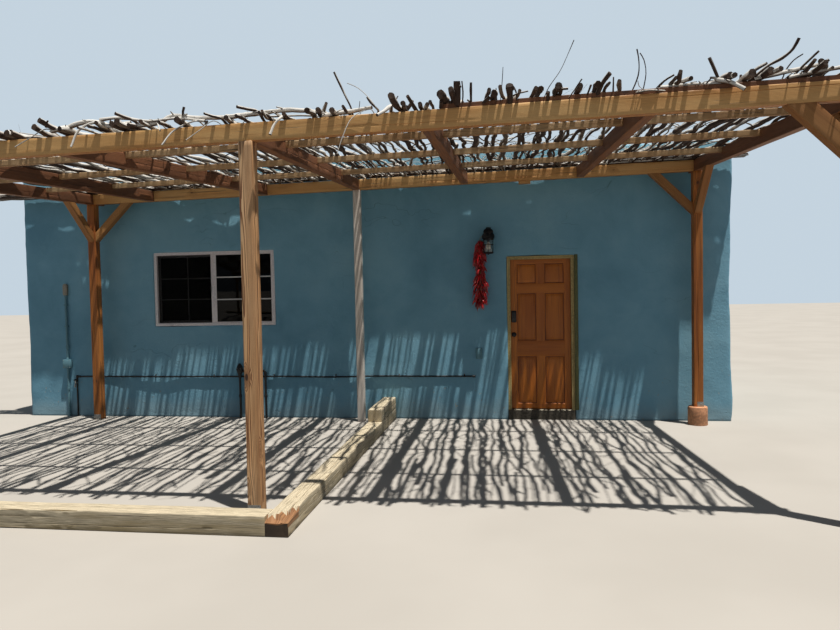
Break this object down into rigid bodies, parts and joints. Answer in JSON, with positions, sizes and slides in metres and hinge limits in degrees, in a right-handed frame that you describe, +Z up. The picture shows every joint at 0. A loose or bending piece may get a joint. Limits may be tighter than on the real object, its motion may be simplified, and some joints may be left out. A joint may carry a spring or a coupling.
{
  "type": "adobe house",
  "caption": "One-room flat-roofed adobe house with a parapet, a sliding window and a panelled door that opens, shaded by a post-and-beam ramada roofed with sticks.",
  "frame": {"origin": "on the ground, in the middle of the house's rectangular plan", "axes": "+X along the front wall to the right as seen from outside, -Y out of the front wall to the ramada, +Z up"},
  "size_m": [10.02, 11.25, 3.63],
  "materials": {
    "stucco": "matt lime and cement render over adobe, worn teal blue",
    "concrete": "trowelled concrete",
    "roofing": "weathered roof coating",
    "dark_wood": "weathered, stained",
    "vinyl": "satin",
    "window_glass": "clear, dark room behind",
    "frame_paint": "worn paint and primer",
    "door_wood": "orange-brown stain, satin",
    "black_metal": "satin black",
    "hinge_steel": "satin",
    "timber": "sawn, sun-bleached outside",
    "terracotta": "coloured concrete",
    "sticks": "bleached, bark gone",
    "lantern_glass": "clear",
    "chile": "dried pods",
    "painted_pipe": "painted over with the wall",
    "black_plastic": "dull",
    "weathered_wood": "grey, weathered, chipped"
  },
  "bodies": {
    "house": {"floor_slab": "concrete", "front_wall_left": "stucco", "front_wall_under_window": "stucco", "front_wall_over_window": "stucco", "front_wall_middle": "stucco", "front_wall_over_door": "stucco", "front_wall_right": "stucco", "left_wall": "stucco", "right_wall": "stucco", "rear_wall_left": "stucco", "rear_wall_middle": "stucco", "rear_wall_right": "stucco", "rear_wall_at_windows": "stucco", "roof_deck": "roofing", "canales": "dark_wood", "window_frame": "vinyl", "window_sashes": "vinyl", "rear_window_frames": "vinyl", "window_glass": "window_glass", "door_frame": "frame_paint", "door_sill": "concrete", "frame_hinges": "hinge_steel", "front_posts": "timber", "rear_posts": "timber", "post_piers": "terracotta", "front_beam": "timber", "rear_beam": "timber", "rafters": "timber", "purlins": "timber", "knee_braces": "timber", "latillas_far_left": "sticks", "latillas_left": "sticks", "latillas_right": "sticks", "latillas_far_right": "sticks", "wall_lantern": "black_metal", "lantern_glass": "lantern_glass", "chile_ristra": "chile", "conduit": "painted_pipe", "outlet_box": "painted_pipe", "water_pipe": "black_plastic", "kerb_front": "weathered_wood", "kerb_side": "weathered_wood"},
    "door": {"door_leaf": "door_wood", "door_lockset": "black_metal", "door_hinge_leaves": "hinge_steel"}
  },
  "joints": [
    {"name": "door_hinge", "type": "hinge", "parent": "house", "child": "door", "pos_m": [2.9955, -3.088, 1.156], "axis": [0, 0, -1], "range_deg": [0, 90]}
  ]
}
